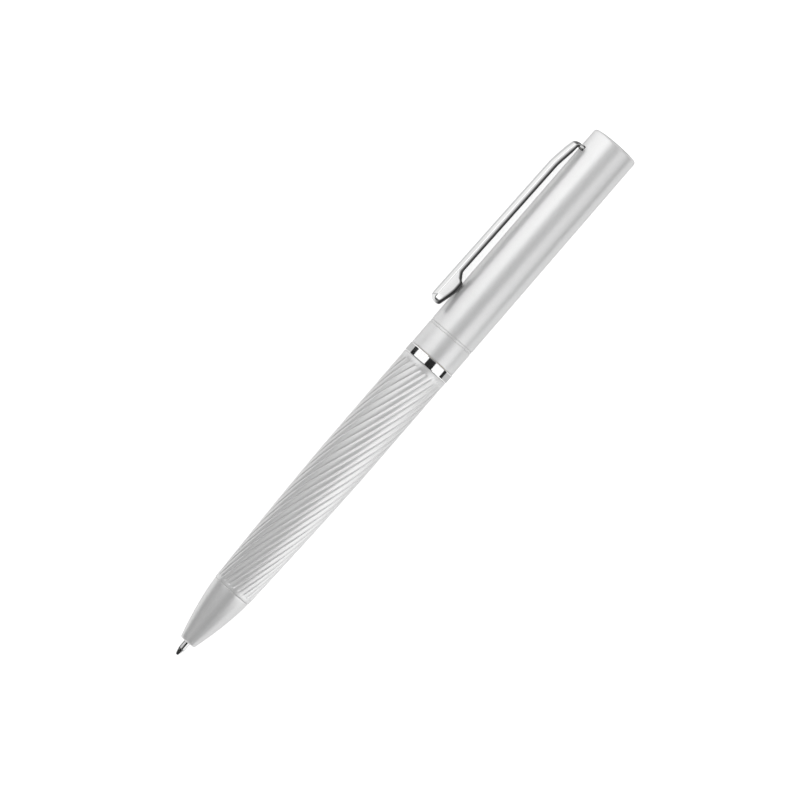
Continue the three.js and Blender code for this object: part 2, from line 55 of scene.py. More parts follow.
# Outside radii
MOUTH_RADIUS = 1.95
NOSE_REAR_RADIUS = 4.37
BARREL_FRONT_RADIUS = 4.46
BARREL_RADIUS = 5.4
RING_RADIUS = 5.49

# Outside shape
TIP_PROTRUSION = 3.4
NOSE_LENGTH = 14
NOSE_TAPER_POWER = 1.5
BARREL_TAPER_POWER = 1.4
BARREL_TAPER_LENGTH = 36.6
MOUTH_ROUNDING = 0.5
SEAM_ROUNDING = 0.15
FINE_ROUNDING = 0.1
RING_ROUNDING = 0.2
FLUTE_COUNT = 22
FLUTE_DEPTH = 0.18
FLUTE_POWER = 3
FLUTE_PITCH = 81
FLUTE_FRONT_MARGIN = 0.8
FLUTE_REAR_MARGIN = 1.1
FLUTE_FADE = 0.9
LINE_DISTANCE = 5.9
LINE_WIDTH = 0.56
LINE_DEPTH = 0.15
LINE_FLOOR_DEPTH = 0.04
LINE_WALL = 0.1
TOP_FILLET = 0.6
TOP_DOME_HEIGHT = 0.2
TOP_FLAT_RADIUS = 3

# Walls, bores and gaps
BARREL_BORE = 3.75
BUSHING_BORE = 3.55
BUSHING_SEAT_RADIUS = 4.5
BUSHING_LENGTH = 9
UPPER_BORE = 4.7
TOP_WALL = 1.5
SPIGOT_LENGTH = 6
PRESS_GAP = 0.05
RUNNING_GAP = 0.1
END_GAP = 0.05

# Refill tip and ball
BALL_RADIUS = 0.35
BALL_EXPOSED = 0.25
SOCKET_GAP = 0.02
SOCKET_LIP = 0.06
INK_CHANNEL_RADIUS = 0.2
TIP_RADIUS = 0.82
TIP_CONE_LENGTH = 1.3
TIP_LENGTH = 8
TIP_SPIGOT_LENGTH = 4
TIP_EDGE = 0.08
REFILL_RADIUS = 1.5
REFILL_WALL = 0.3

# Clip
CLIP_DISTANCE_FROM_TOP = 4.7
CLIP_LENGTH = 44.2
CLIP_WIDTH = 3
CLIP_THICKNESS = 1.35
CLIP_RISE = 2.15
CLIP_SLOPE = 0.016
CLIP_ROOT_SLOPE = 0.15
CLIP_ROOT_LENGTH = 7.4
CLIP_ROOT_BLEND = 2
CLIP_BEND_RADIUS = 0.75
CLIP_BEND_THICKNESS = 1.1
CLIP_CROWN = 0.25
CLIP_LOW_WIDE = 0.5
CLIP_LOW_HIGH = 1.15
FOOT_WIDTH = 2.6
FOOT_THICKNESS = 0.95
FOOT_DEPTH = 3.4
BOW_HEIGHT = 1
KEEL_FRONT = 5
KEEL_LEAD = 1
KEEL_REAR = 6.2
KEEL_DEPTH = 1.2
KEEL_LOW_HIGH = 1.5
HEEL_LENGTH = 8.4
HEEL_CURVE = 0.8
HEEL_BLEND = 0.4

# Share of its full section that the clip keeps at its free end
LEAST_SHARE = 0.07

# Largest share of a section's side that one rounded corner takes
CORNER_SHARE = 0.49

# Fineness of the meshes
AROUND = 192
RIB_POINTS = 12
NOSE_STEPS = 40
BARREL_STEPS = 220
FADE_STEPS = 8
UPPER_STEPS = 90
DOME_STEPS = 6
EDGE_STEPS = 5
CORNER_STEPS = 9
CURVE_STEPS = 9
BLADE_STEPS = 16
ROOT_STEPS = 6
BEND_STEPS = 14
BALL_BANDS = 24

# Distance from an edge to the points beside it that keep a flat run's shading flat
RUN_MARGIN = 0.05

# Angle between two faces above which the edge between them stays sharp
SHARP_ANGLE = math.radians(32)

# The pen's axis and the clip's side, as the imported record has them
MOUNT_POINT = Vector(frame["record"]["mounts"][0]["pos_m"])
AXIS_PLACE = Vector((0, MOUNT_POINT.y, MOUNT_POINT.z))
FLEX_AXIS = next(Vector(joint["axis"]) for joint in frame["joints"] if joint["name"] == "clip_flex")
CLIP_SIDE = FLEX_AXIS.cross(Vector((1, 0, 0)))
TO_TOP = Vector((-1, 0, 0))
ROLL = math.atan2(-CLIP_SIDE.y, CLIP_SIDE.z)

# From the pen's own frame, in millimetres, to the shared frame, in metres
PEN_TO_SHARED = Matrix.Translation(AXIS_PLACE) @ Matrix.Rotation(ROLL, 4, "X") @ Matrix.Scale(MM, 4)

# Stations along the pen
TIP_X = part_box("writing_ball")[1].x / MM
MOUTH_X = TIP_X - TIP_PROTRUSION
SEAM_X = MOUTH_X - NOSE_LENGTH
RING_FRONT_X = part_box("centre_ring")[1].x / MM
RING_REAR_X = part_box("centre_ring")[0].x / MM
UPPER_FRONT_X = RING_REAR_X - END_GAP
TOP_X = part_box("upper_barrel")[0].x / MM
TIP_REAR_X = TIP_X - BALL_EXPOSED - TIP_LENGTH
FLUTE_FRONT_X = SEAM_X - FLUTE_FRONT_MARGIN
FLUTE_REAR_X = RING_FRONT_X + FLUTE_REAR_MARGIN
FOOT_X = TOP_X + CLIP_DISTANCE_FROM_TOP + FOOT_THICKNESS / 2
CLIP_END_X = TOP_X + CLIP_DISTANCE_FROM_TOP + CLIP_LENGTH

# The angle of the clip's root, and distances from the clip's free end to its root and to its bend
ROOT_ANGLE = math.atan(CLIP_ROOT_SLOPE)
ROOT_DISTANCE = CLIP_LENGTH - CLIP_ROOT_LENGTH
BEND_DISTANCE = CLIP_END_X - FOOT_X - CLIP_BEND_RADIUS * (1 - math.sin(ROOT_ANGLE))

# Angles from none to a quarter turn, for rounded edges
QUARTER_TURNS = [step / EDGE_STEPS * math.pi / 2 for step in range(EDGE_STEPS + 1)]


def mix(start, end, share):
    return start + (end - start) * share


def polar(x, radius, angle):
    """A point on a cylinder round the pen's axis; angle 0 is the clip's side."""
    return Vector((x, -radius * math.sin(angle), radius * math.cos(angle)))


def circle(x, radius, count):
    return [polar(x, radius, 2 * math.pi * i / count) for i in range(count)]


def front_edge(x, radius, size):
    """Profile points of a rounded corner whose end face looks toward the tip."""
    return [
        (x - size * (1 - math.sin(turn)), radius - size * (1 - math.cos(turn)))
        for turn in QUARTER_TURNS
    ]


def rear_edge(x, radius, size):
    """Profile points of a rounded corner whose end face looks toward the top end."""
    return [
        (x + size * (1 - math.cos(turn)), radius - size * (1 - math.sin(turn)))
        for turn in QUARTER_TURNS
    ]


def straight(start_x, end_x, radius):
    """Profile points of a straight run, with one close beside each end."""
    return [(x, radius) for x in (start_x, start_x + RUN_MARGIN, end_x - RUN_MARGIN, end_x)]


def skin(rings, closed):
    """A mesh through rings of points; closed joins the last to the first. One point alone is a tip."""
    bm = bmesh.new()
    rows = [[bm.verts.new(point) for point in ring] for ring in rings]
    pairs = list(zip(rows, rows[1:]))
    if closed:
        pairs.append((rows[-1], rows[0]))
    for first, second in pairs:
        count = max(len(first), len(second))
        for i in range(count):
            j = (i + 1) % count
            if len(first) == 1:
                bm.faces.new((first[0], second[i], second[j]))
            elif len(second) == 1:
                bm.faces.new((first[i], second[0], first[j]))
            else:
                bm.faces.new((first[i], second[i], second[j], first[j]))
    return bm


def lathe(profile, around=AROUND):
    """A turned mesh from (x, radius) points. A profile that ends on the axis is capped there."""
    rings = [circle(x, radius, around) if radius > 0 else [Vector((x, 0, 0))] for x, radius in profile]
    return skin(rings, closed=profile[0][1] > 0)


def mesh_object(name, bm, material=None):
    """Makes an object of a mesh that is already in the shared frame, and links it."""
    mesh = bpy.data.meshes.new(name)
    bm.to_mesh(mesh)
    bm.free()
    if material:
        mesh.materials.append(material)
    made = bpy.data.objects.new(name, mesh)
    scene.collection.objects.link(made)
    return made


def add_piece(name, bm, material, body, node):
    """Makes an object of a mesh in the pen's frame, attaches it to a body, and hides the CAD node that it is built
    in place of.
    """
    bmesh.ops.recalc_face_normals(bm, faces=bm.faces)
    bm.transform(PEN_TO_SHARED)
    piece = mesh_object(name, bm, material)
    piece.data.shade_smooth()
    piece.data.set_sharp_from_angle(angle=SHARP_ANGLE)
    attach(piece, body)
    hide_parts(node)
    return piece


def nose_shell():
    shoulder_x = MOUTH_X - MOUTH_ROUNDING
    outside = []
    for step in range(NOSE_STEPS):
        share = mix(SEAM_ROUNDING / (shoulder_x - SEAM_X), 1, step / NOSE_STEPS)
        radius = NOSE_REAR_RADIUS - (NOSE_REAR_RADIUS - MOUTH_RADIUS) * share ** NOSE_TAPER_POWER
        outside.append((mix(SEAM_X, shoulder_x, share), radius))
    spigot_radius = BARREL_BORE - PRESS_GAP
    spigot_x = SEAM_X - SPIGOT_LENGTH
    tube_bore = REFILL_RADIUS + 2 * RUNNING_GAP
    stop_x = TIP_REAR_X + RUNNING_GAP
    tip_bore = TIP_RADIUS + RUNNING_GAP
    return lathe([
        (spigot_x, tube_bore),
        *rear_edge(spigot_x, spigot_radius, FINE_ROUNDING),
        (SEAM_X, spigot_radius),
        *rear_edge(SEAM_X, NOSE_REAR_RADIUS, SEAM_ROUNDING)[:-1],
        *outside,
        *front_edge(MOUTH_X, MOUTH_RADIUS, MOUTH_ROUNDING),
        (MOUTH_X, tip_bore + FINE_ROUNDING),
        (MOUTH_X - FINE_ROUNDING, tip_bore),
        (stop_x, tip_bore),
        (stop_x, tube_bore),
    ])


def crest_radius(x):
    """Radius of the ribs' crests: tapered toward the nose, straight toward the ring."""
    share = max(0, (x - (SEAM_X - BARREL_TAPER_LENGTH)) / BARREL_TAPER_LENGTH)
    return BARREL_RADIUS - (BARREL_RADIUS - BARREL_FRONT_RADIUS) * share ** BARREL_TAPER_POWER


def flute_share(x):
    """Share of the full flute depth at a station: the flutes run out round at both ends."""
    nearest_end = min(FLUTE_FRONT_X - x, x - FLUTE_REAR_X) / FLUTE_FADE
    share = min(1, max(0, nearest_end))
    return math.sqrt(1 - (1 - share) ** 2)


def fluted_ring(x, crest):
    depth = FLUTE_DEPTH * flute_share(x)
    twist = 2 * math.pi * x / FLUTE_PITCH
    ring = []
    for point in range(FLUTE_COUNT * RIB_POINTS):
        rib, place = divmod(point, RIB_POINTS)
        # Points stand closer together at the valley than at the crest
        side = abs(2 * place / RIB_POINTS - 1)
        from_valley = 1 - math.sqrt(side) if side > 0 else 1
        offset = from_valley / 2 if 2 * place < RIB_POINTS else 1 - from_valley / 2
        drop = depth * (1 - from_valley) ** FLUTE_POWER
        ring.append(polar(x, crest - drop, twist + 2 * math.pi * (rib + offset) / FLUTE_COUNT))
    return ring


def fluted_stations():
    """Stations of the fluted length, closer together where the flutes run out."""
    fade = [FLUTE_FADE * (1 - math.cos(step / FADE_STEPS * math.pi / 2)) for step in range(FADE_STEPS)]
    start_x = FLUTE_REAR_X + FLUTE_FADE
    end_x = FLUTE_FRONT_X - FLUTE_FADE
    body = [mix(start_x, end_x, step / BARREL_STEPS) for step in range(BARREL_STEPS + 1)]
    return [FLUTE_REAR_X + x for x in fade] + body + [FLUTE_FRONT_X - x for x in reversed(fade)]


def fluted_barrel():
    outside = rear_edge(RING_FRONT_X, 0, SEAM_ROUNDING)
    outside += [(x, 0) for x in fluted_stations()]
    outside += front_edge(SEAM_X, 0, SEAM_ROUNDING)
    rings = [fluted_ring(x, crest_radius(x) + drop) for x, drop in outside]
    seat_x = RING_FRONT_X + BUSHING_LENGTH
    for x, radius in (
        (SEAM_X, BARREL_BORE),
        (seat_x, BARREL_BORE),
        (seat_x, BUSHING_SEAT_RADIUS),
        (RING_FRONT_X, BUSHING_SEAT_RADIUS),
    ):
        rings.append(circle(x, radius, FLUTE_COUNT * RIB_POINTS))
    return skin(rings, closed=True)


def centre_ring():
    return lathe([
        (RING_REAR_X, BUSHING_BORE),
        *rear_edge(RING_REAR_X, RING_RADIUS, RING_ROUNDING)[:-1],
        *straight(RING_REAR_X + RING_ROUNDING, RING_FRONT_X - RING_ROUNDING, RING_RADIUS),
        *front_edge(RING_FRONT_X, RING_RADIUS, RING_ROUNDING)[1:],
        (RING_FRONT_X, BUSHING_BORE),
    ])


def top_dome():
    """Profile points of the slightly domed end face, from its flat outward."""
    shares = [step / DOME_STEPS for step in range(DOME_STEPS)]
    dome_radius = BARREL_RADIUS - TOP_FILLET
    return [
        (TOP_X + TOP_DOME_HEIGHT * share ** 2, mix(TOP_FLAT_RADIUS, dome_radius, share))
        for share in shares
    ]


def upper_shell():
    fillet_x = TOP_X + TOP_DOME_HEIGHT
    line_x = UPPER_FRONT_X - LINE_DISTANCE
    line_rear_x = line_x - LINE_WIDTH / 2
    line_front_x = line_x + LINE_WIDTH / 2
    shell_start = fillet_x + TOP_FILLET
    shell_end = line_rear_x - LINE_WALL - RUN_MARGIN
    shell = [mix(shell_start, shell_end, step / UPPER_STEPS) for step in range(1, UPPER_STEPS)]
    return lathe([
        (TOP_X, 0),
        *top_dome(),
        *rear_edge(fillet_x, BARREL_RADIUS, TOP_FILLET),
        (shell_start + RUN_MARGIN, BARREL_RADIUS),
        *[(x, BARREL_RADIUS) for x in shell],
        (shell_end, BARREL_RADIUS),
        (line_rear_x - LINE_WALL, BARREL_RADIUS),
        (line_rear_x, BARREL_RADIUS - LINE_DEPTH),
        *straight(line_rear_x + LINE_WALL, line_front_x - LINE_WALL, BARREL_RADIUS - LINE_FLOOR_DEPTH),
        (line_front_x, BARREL_RADIUS - LINE_DEPTH),
        *straight(line_front_x + LINE_WALL, UPPER_FRONT_X - SEAM_ROUNDING, BARREL_RADIUS),
        *front_edge(UPPER_FRONT_X, BARREL_RADIUS, SEAM_ROUNDING)[1:],
        (UPPER_FRONT_X, UPPER_BORE),
        (TOP_X + TOP_WALL, UPPER_BORE),
        (TOP_X + TOP_WALL, 0),
    ])


def cut_clip_slot(piece):
    """Cuts the slot that the clip's foot goes through."""
    bm = bmesh.new()
    bmesh.ops.create_cube(bm, size=1)
    length = FOOT_THICKNESS + 2 * RUNNING_GAP
    width = FOOT_WIDTH + 2 * RUNNING_GAP
    bmesh.ops.scale(bm, vec=(length, width, BARREL_RADIUS), verts=bm.verts)
    bmesh.ops.translate(bm, vec=(FOOT_X, 0, BARREL_RADIUS), verts=bm.verts)
    bm.transform(PEN_TO_SHARED)
    cutter = mesh_object("slot_cutter", bm)
    modifier = piece.modifiers.new("slot", "BOOLEAN")
    modifier.operation = "DIFFERENCE"
    modifier.solver = "EXACT"
    modifier.object = cutter
    bpy.context.view_layer.update()
    shown = piece.evaluated_get(bpy.context.evaluated_depsgraph_get())
    cut_mesh = bpy.data.meshes.new_from_object(shown)
    piece.modifiers.remove(modifier)
    bpy.data.objects.remove(cutter)
    piece.data = cut_mesh
    cut_mesh.set_sharp_from_angle(angle=SHARP_ANGLE)


def clip_top(distance):
    """Height of the clip's outer face above the pen's axis at a distance from its free end."""
    past = max(0, distance - ROOT_DISTANCE)
    height = BARREL_RADIUS + CLIP_RISE + CLIP_THICKNESS + CLIP_SLOPE * (HEEL_LENGTH - distance)
    run = past ** 2 / (2 * CLIP_ROOT_BLEND) if past < CLIP_ROOT_BLEND else past - CLIP_ROOT_BLEND / 2
    return height - (CLIP_ROOT_SLOPE - CLIP_SLOPE) * run


def blade_under(distance):
    return clip_top(distance) - CLIP_THICKNESS


def clip_section(width, height, keel=0):
    """Points with a low crown above and well rounded edges below, rounder still where there is a keel."""
    crown_wide = CORNER_SHARE * width
    crown_high = min(CLIP_CROWN, CORNER_SHARE * height)
    low_wide = mix(min(CLIP_LOW_WIDE, CORNER_SHARE * width), CORNER_SHARE * width, keel)
    low_high = min(mix(CLIP_LOW_HIGH, KEEL_LOW_HIGH, keel), height - crown_high - RUN_MARGIN)
    corners = [
        (width / 2 - crown_wide, height / 2 - crown_high, crown_wide, crown_high),
        (crown_wide - width / 2, height / 2 - crown_high, crown_wide, crown_high),
        (low_wide - width / 2, low_high - height / 2, low_wide, low_high),
        (width / 2 - low_wide, low_high - height / 2, low_wide, low_high),
    ]
    # A point just under each end of the crown keeps the flat sides' shading flat
    side_top = height / 2 - crown_high - RUN_MARGIN / 2
    points = [(width / 2, side_top)]
    for quarter, (side, up, reach_side, reach_up) in enumerate(corners):
        if quarter == 2:
            points.append((-width / 2, side_top))
        for step in range(CORNER_STEPS + 1):
            angle = (quarter + step / CORNER_STEPS) * math.pi / 2
            points.append((side + reach_side * math.cos(angle), up + reach_up * math.sin(angle)))
    return points


def clip_ring(x, height, section, out_x=0, out_z=1):
    """A section placed across the clip's run; out_x and out_z point to its outer face."""
    return [Vector((x + out_x * up, side, height + out_z * up)) for side, up in section]


def curve_points(start, control, end):
    """Points of a quadratic curve, without its last one."""
    points = []
    for step in range(CURVE_STEPS):
        share = step / CURVE_STEPS
        points.append(mix(mix(start, control, share), mix(control, end, share), share))
    return points


def boat_underside(bow_middle):
    """Points under the boat-shaped end, each a distance from the free end and a height."""
    bow_low = BARREL_RADIUS + BOW_HEIGHT
    keel_height = BARREL_RADIUS + END_GAP
    heel_x = KEEL_REAR + HEEL_CURVE
    heel_start = HEEL_LENGTH - HEEL_BLEND
    heel_end = HEEL_LENGTH + HEEL_BLEND
    keel_end = Vector((heel_x, keel_height + HEEL_CURVE))
    blade_start = Vector((heel_end, blade_under(heel_end)))
    return [
        *curve_points(Vector((0, bow_middle)), Vector((0, bow_low)), Vector((BOW_HEIGHT, bow_low))),
        *curve_points(
            Vector((BOW_HEIGHT, bow_low)),
            Vector((KEEL_FRONT - KEEL_LEAD, keel_height)),
            Vector((KEEL_FRONT, keel_height)),
        ),
        *curve_points(
            Vector((KEEL_REAR, keel_height)),
            Vector(((KEEL_REAR + heel_x) / 2, keel_height)),
            keel_end,
        ),
        keel_end,
        *curve_points(
            Vector((heel_start, blade_under(HEEL_LENGTH) - HEEL_BLEND)),
            Vector((HEEL_LENGTH, blade_under(HEEL_LENGTH))),
            blade_start,
        ),
        blade_start,
    ]


def boat_rings():
    """Rings of the boat-shaped end, from the clip's free end to its heel."""
    bow_middle = (BARREL_RADIUS + BOW_HEIGHT + clip_top(0)) / 2
    rings = []
    for distance, low in boat_underside(bow_middle):
        from_end = min(1, distance / (CLIP_WIDTH / 2))
        round_share = max(LEAST_SHARE, math.sqrt(1 - (1 - from_end) ** 2))
        top = mix(bow_middle, clip_top(distance), round_share)
        keel = min(1, max(0, (blade_under(distance) - low) / KEEL_DEPTH))
        section = clip_section(CLIP_WIDTH * round_share, top - low, keel)
        rings.append(clip_ring(CLIP_END_X - distance, (top + low) / 2, section))
    return rings


def blade_rings():
    """Rings of the blade, from the heel to just before the bend."""
    distances = [mix(HEEL_LENGTH, ROOT_DISTANCE, step / BLADE_STEPS) for step in range(1, BLADE_STEPS)]
    distances += [ROOT_DISTANCE + CLIP_ROOT_BLEND * step / ROOT_STEPS for step in range(ROOT_STEPS + 1)]
    distances.append(BEND_DISTANCE - 2 * CLIP_BEND_RADIUS)
    section = clip_section(CLIP_WIDTH, CLIP_THICKNESS)
    return [
        clip_ring(CLIP_END_X - distance, clip_top(distance) - CLIP_THICKNESS / 2, section)
        for distance in distances
    ]


def bend_rings():
    """Rings round the bend at the root, and the one at the foot's end."""
    bend_height = clip_top(BEND_DISTANCE) - CLIP_THICKNESS / 2
    centre_height = bend_height - CLIP_BEND_RADIUS * math.cos(ROOT_ANGLE)
    rings = []
    for step in range(BEND_STEPS + 1):
        share = step / BEND_STEPS
        turn = mix(ROOT_ANGLE, math.pi / 2, share)
        out_x = -math.sin(turn)
        out_z = math.cos(turn)
        x = FOOT_X + CLIP_BEND_RADIUS * (1 + out_x)
        height = centre_height + CLIP_BEND_RADIUS * out_z
        width = mix(CLIP_WIDTH, FOOT_WIDTH, share)
        thickness = mix(CLIP_BEND_THICKNESS, FOOT_THICKNESS, share)
        rings.append(clip_ring(x, height, clip_section(width, thickness), out_x, out_z))
    foot = clip_section(FOOT_WIDTH, FOOT_THICKNESS)
    rings.append(clip_ring(FOOT_X, BARREL_RADIUS - FOOT_DEPTH, foot, out_x=-1, out_z=0))
    return rings


def clip():
    rings = boat_rings() + blade_rings() + bend_rings()
    ends = [[sum(ring, Vector()) / len(ring)] for ring in (rings[0], rings[-1])]
    return skin([ends[0], *rings, ends[1]], closed=False)


def refill_tip():
    front_x = TIP_X - BALL_EXPOSED
    socket_radius = BALL_RADIUS + SOCKET_GAP
    socket_bottom = TIP_X - 2 * BALL_RADIUS - SOCKET_GAP
    spigot_radius = REFILL_RADIUS - REFILL_WALL - PRESS_GAP
    spigot_x = TIP_REAR_X - TIP_SPIGOT_LENGTH
    shoulder_x = front_x - TIP_CONE_LENGTH
    lip_radius = socket_radius + SOCKET_LIP
    return lathe([
        (spigot_x, INK_CHANNEL_RADIUS),
        (spigot_x, spigot_radius),
        (TIP_REAR_X, spigot_radius),
        *straight(TIP_REAR_X, shoulder_x - TIP_EDGE, TIP_RADIUS),
        (shoulder_x, TIP_RADIUS - TIP_EDGE / 4),
        (shoulder_x + TIP_EDGE, TIP_RADIUS - TIP_EDGE / 2),
        (front_x - SOCKET_LIP, lip_radius + SOCKET_GAP),
        (front_x, lip_radius),
        (front_x, socket_radius),
        (socket_bottom, socket_radius),
        (socket_bottom, INK_CHANNEL_RADIUS),
    ], AROUND // 2)


def writing_ball():
    turns = [math.pi * step / BALL_BANDS for step in range(1, BALL_BANDS)]
    centre = TIP_X - BALL_RADIUS
    return lathe([
        (centre - BALL_RADIUS, 0),
        *[(centre - BALL_RADIUS * math.cos(turn), BALL_RADIUS * math.sin(turn)) for turn in turns],
        (centre + BALL_RADIUS, 0),
    ], AROUND // 4)


# Grey of the chrome, and stops of the painted shade on the clip, a dark band painted into its colour in place of
# shade and dark reflections: share of the turn inward, and grey there
CHROME_GREY = 0.88
PAINTED_SHADE_BAND = ((0.25, 0.1), (0.5, 0.04), (0.85, 0.3))

# Where between 0 and 1 a tint starts and ends
TINT_START = 0.3
TINT_END = 0.7


def grey(level):
    return (level, level, level)


def new_material(name, color, metallic, roughness):
    """A material with its shader's own values, and the shader to add detail to."""
    material = bpy.data.materials.new(name)
    material.use_nodes = True
    shader = material.node_tree.nodes["Principled BSDF"]
    shader.inputs["Base Color"].default_value = (*color, 1)
    shader.inputs["Metallic"].default_value = metallic
    shader.inputs["Roughness"].default_value = roughness
    return material, shader


def object_coordinates(tree, stretch=(1, 1, 1)):
    coordinates = tree.nodes.new("ShaderNodeTexCoord")
    mapping = tree.nodes.new("ShaderNodeMapping")
    mapping.inputs["Scale"].default_value = stretch
    tree.links.new(coordinates.outputs["Object"], mapping.inputs["Vector"])
    return mapping.outputs["Vector"]


def noise(tree, size, detail=2, stretch=(1, 1, 1)):
    """Noise with features of about the given size in millimetres."""
    texture = tree.nodes.new("ShaderNodeTexNoise")
    texture.inputs["Scale"].default_value = 1 / (size * MM)
    texture.inputs["Detail"].default_value = detail
    tree.links.new(object_coordinates(tree, stretch), texture.inputs["Vector"])
    return texture.outputs["Fac"]


def flakes(tree, size):
    """A random brightness for each flake of the given size in millimetres."""
    texture = tree.nodes.new("ShaderNodeTexVoronoi")
    texture.inputs["Scale"].default_value = 1 / (size * MM)
    tree.links.new(object_coordinates(tree), texture.inputs["Vector"])
    brightness = tree.nodes.new("ShaderNodeRGBToBW")
    tree.links.new(texture.outputs["Color"], brightness.inputs["Color"])
    return brightness.outputs["Val"]


def add_range(tree, value, low, high, target):
    """Maps a 0 to 1 value to a range and links it to a socket."""
    spread = tree.nodes.new("ShaderNodeMapRange")
    spread.inputs["To Min"].default_value = low
    spread.inputs["To Max"].default_value = high
    tree.links.new(value, spread.inputs["Value"])
    tree.links.new(spread.outputs["Result"], target)


def add_tint(tree, value, dark, light, target):
    """Mixes two colours by a 0 to 1 value and links them to a socket."""
    ramp = tree.nodes.new("ShaderNodeValToRGB")
    ramp.color_ramp.elements[0].position = TINT_START
    ramp.color_ramp.elements[0].color = (*dark, 1)
    ramp.color_ramp.elements[1].position = TINT_END
    ramp.color_ramp.elements[1].color = (*light, 1)
    tree.links.new(value, ramp.inputs["Fac"])
    tree.links.new(ramp.outputs["Color"], target)


def add_bump(tree, shader, value, depth):
    """Raises the surface by a 0 to 1 value, with the full depth in millimetres."""
    bump = tree.nodes.new("ShaderNodeBump")
    bump.inputs["Distance"].default_value = depth * MM
    bump.inputs["Strength"].default_value = 1
    tree.links.new(value, bump.inputs["Height"])
    tree.links.new(bump.outputs["Normal"], shader.inputs["Normal"])


def pearl_lacquer():
    """Satin metallic lacquer: fine flakes, a little unevenness in its gloss, and a thin clear coat."""
    material, shader = new_material("pearl_lacquer", grey(0.8), metallic=0.6, roughness=0.39)
    tree = material.node_tree
    add_tint(tree, flakes(tree, size=0.06), grey(0.77), grey(0.83), shader.inputs["Base Color"])
    add_range(tree, noise(tree, size=1.6), low=0.36, high=0.42, target=shader.inputs["Roughness"])
    add_bump(tree, shader, noise(tree, size=0.5, detail=3), depth=0.002)
    shader.inputs["Coat Weight"].default_value = 0.1
    shader.inputs["Coat Roughness"].default_value = 0.3
    return material


def chrome_plate(name):
    """Polished plate with a little unevenness in its gloss."""
    material, shader = new_material(name, grey(CHROME_GREY), metallic=1, roughness=0.08)
    tree = material.node_tree
    gloss = noise(tree, size=2.5, detail=3)
    add_range(tree, gloss, low=0.06, high=0.11, target=shader.inputs["Roughness"])
    add_bump(tree, shader, noise(tree, size=1.2), depth=0.0006)
    return material, shader


def polished_chrome():
    material, shader = chrome_plate("polished_chrome")
    tree = material.node_tree
    add_tint(tree, noise(tree, size=4), grey(0.86), grey(0.9), shader.inputs["Base Color"])
    return material


def facing(tree, direction, start, end):
    """Share from 0 to 1 as the cosine between a face's normal and a direction goes from start to end."""
    coordinates = tree.nodes.new("ShaderNodeTexCoord")
    cosine = tree.nodes.new("ShaderNodeVectorMath")
    cosine.operation = "DOT_PRODUCT"
    cosine.inputs[1].default_value = direction
    tree.links.new(coordinates.outputs["Normal"], cosine.inputs[0])
    share = tree.nodes.new("ShaderNodeMapRange")
    share.inputs["From Min"].default_value = start
    share.inputs["From Max"].default_value = end
    tree.links.new(cosine.outputs["Value"], share.inputs["Value"])
    return share.outputs["Result"]


def clip_chrome_painted_shade():
    """Polished plate with painted shade: a dark band painted into its colour stands in for shade and dark
    reflections where the clip's faces turn toward the barrel or the top end.
    """
    material, shader = chrome_plate("clip_chrome_painted_shade")
    tree = material.node_tree
    painted_shade_share = tree.nodes.new("ShaderNodeMath")
    painted_shade_share.operation = "MAXIMUM"
    tree.links.new(facing(tree, -CLIP_SIDE, start=0, end=1), painted_shade_share.inputs[0])
    tree.links.new(facing(tree, TO_TOP, start=0.3, end=1.1), painted_shade_share.inputs[1])
    # This ramp paints shade and dark reflection into the clip's colour, by how far each face turns toward the
    # barrel or the top end
    ramp = tree.nodes.new("ShaderNodeValToRGB")
    for element in ramp.color_ramp.elements:
        element.color = (*grey(CHROME_GREY), 1)
    for place, level in PAINTED_SHADE_BAND:
        ramp.color_ramp.elements.new(place).color = (*grey(level), 1)
    tree.links.new(painted_shade_share.outputs["Value"], ramp.inputs["Fac"])
    tree.links.new(ramp.outputs["Color"], shader.inputs["Base Color"])
    return material


def turned_metal(name, dark, light, roughness):
    """Bare turned metal with fine lines round it from the lathe."""
    material, shader = new_material(name, light, metallic=1, roughness=roughness)
    tree = material.node_tree
    lines = noise(tree, size=0.12, stretch=(1, 0.02, 0.02))
    add_tint(tree, noise(tree, size=1.5), dark, light, shader.inputs["Base Color"])
    add_range(tree, lines, low=roughness - 0.06, high=roughness + 0.06, target=shader.inputs["Roughness"])
    add_bump(tree, shader, lines, depth=0.004)
    return material


def drawn_metal(name, dark, light, roughness):
    """Bare metal with fine lines along it from drawing."""
    material, shader = new_material(name, light, metallic=1, roughness=roughness)
    tree = material.node_tree
    lines = noise(tree, size=0.1, stretch=(0.03, 1, 1))
    add_tint(tree, noise(tree, size=2), dark, light, shader.inputs["Base Color"])
    add_range(tree, lines, low=roughness - 0.05, high=roughness + 0.07, target=shader.inputs["Roughness"])
    add_bump(tree, shader, lines, depth=0.003)
    return material


def moulded_plastic(name, dark, light, roughness):
    """Moulded plastic with a fine grain."""
    material, shader = new_material(name, light, metallic=0, roughness=roughness)
    tree = material.node_tree
    add_tint(tree, noise(tree, size=0.8, detail=3), dark, light, shader.inputs["Base Color"])
    grain = noise(tree, size=0.4)
    add_range(tree, grain, low=roughness - 0.05, high=roughness + 0.08, target=shader.inputs["Roughness"])
    add_bump(tree, shader, noise(tree, size=0.15), depth=0.006)
    return material


def paste_ink():
    material, shader = new_material("paste_ink", (0.01, 0.01, 0.04), metallic=0, roughness=0.2)
    tree = material.node_tree
    dark = (0.006, 0.006, 0.03)
    light = (0.014, 0.014, 0.05)
    add_tint(tree, noise(tree, size=1), dark, light, shader.inputs["Base Color"])
    add_range(tree, noise(tree, size=0.6), low=0.15, high=0.3, target=shader.inputs["Roughness"])
    return material


def set_material(material, *nodes):
    """Gives carried-over CAD nodes their finish."""
    for node in nodes:
        for material_slot in frame["nodes"][node].material_slots:
            material_slot.material = material


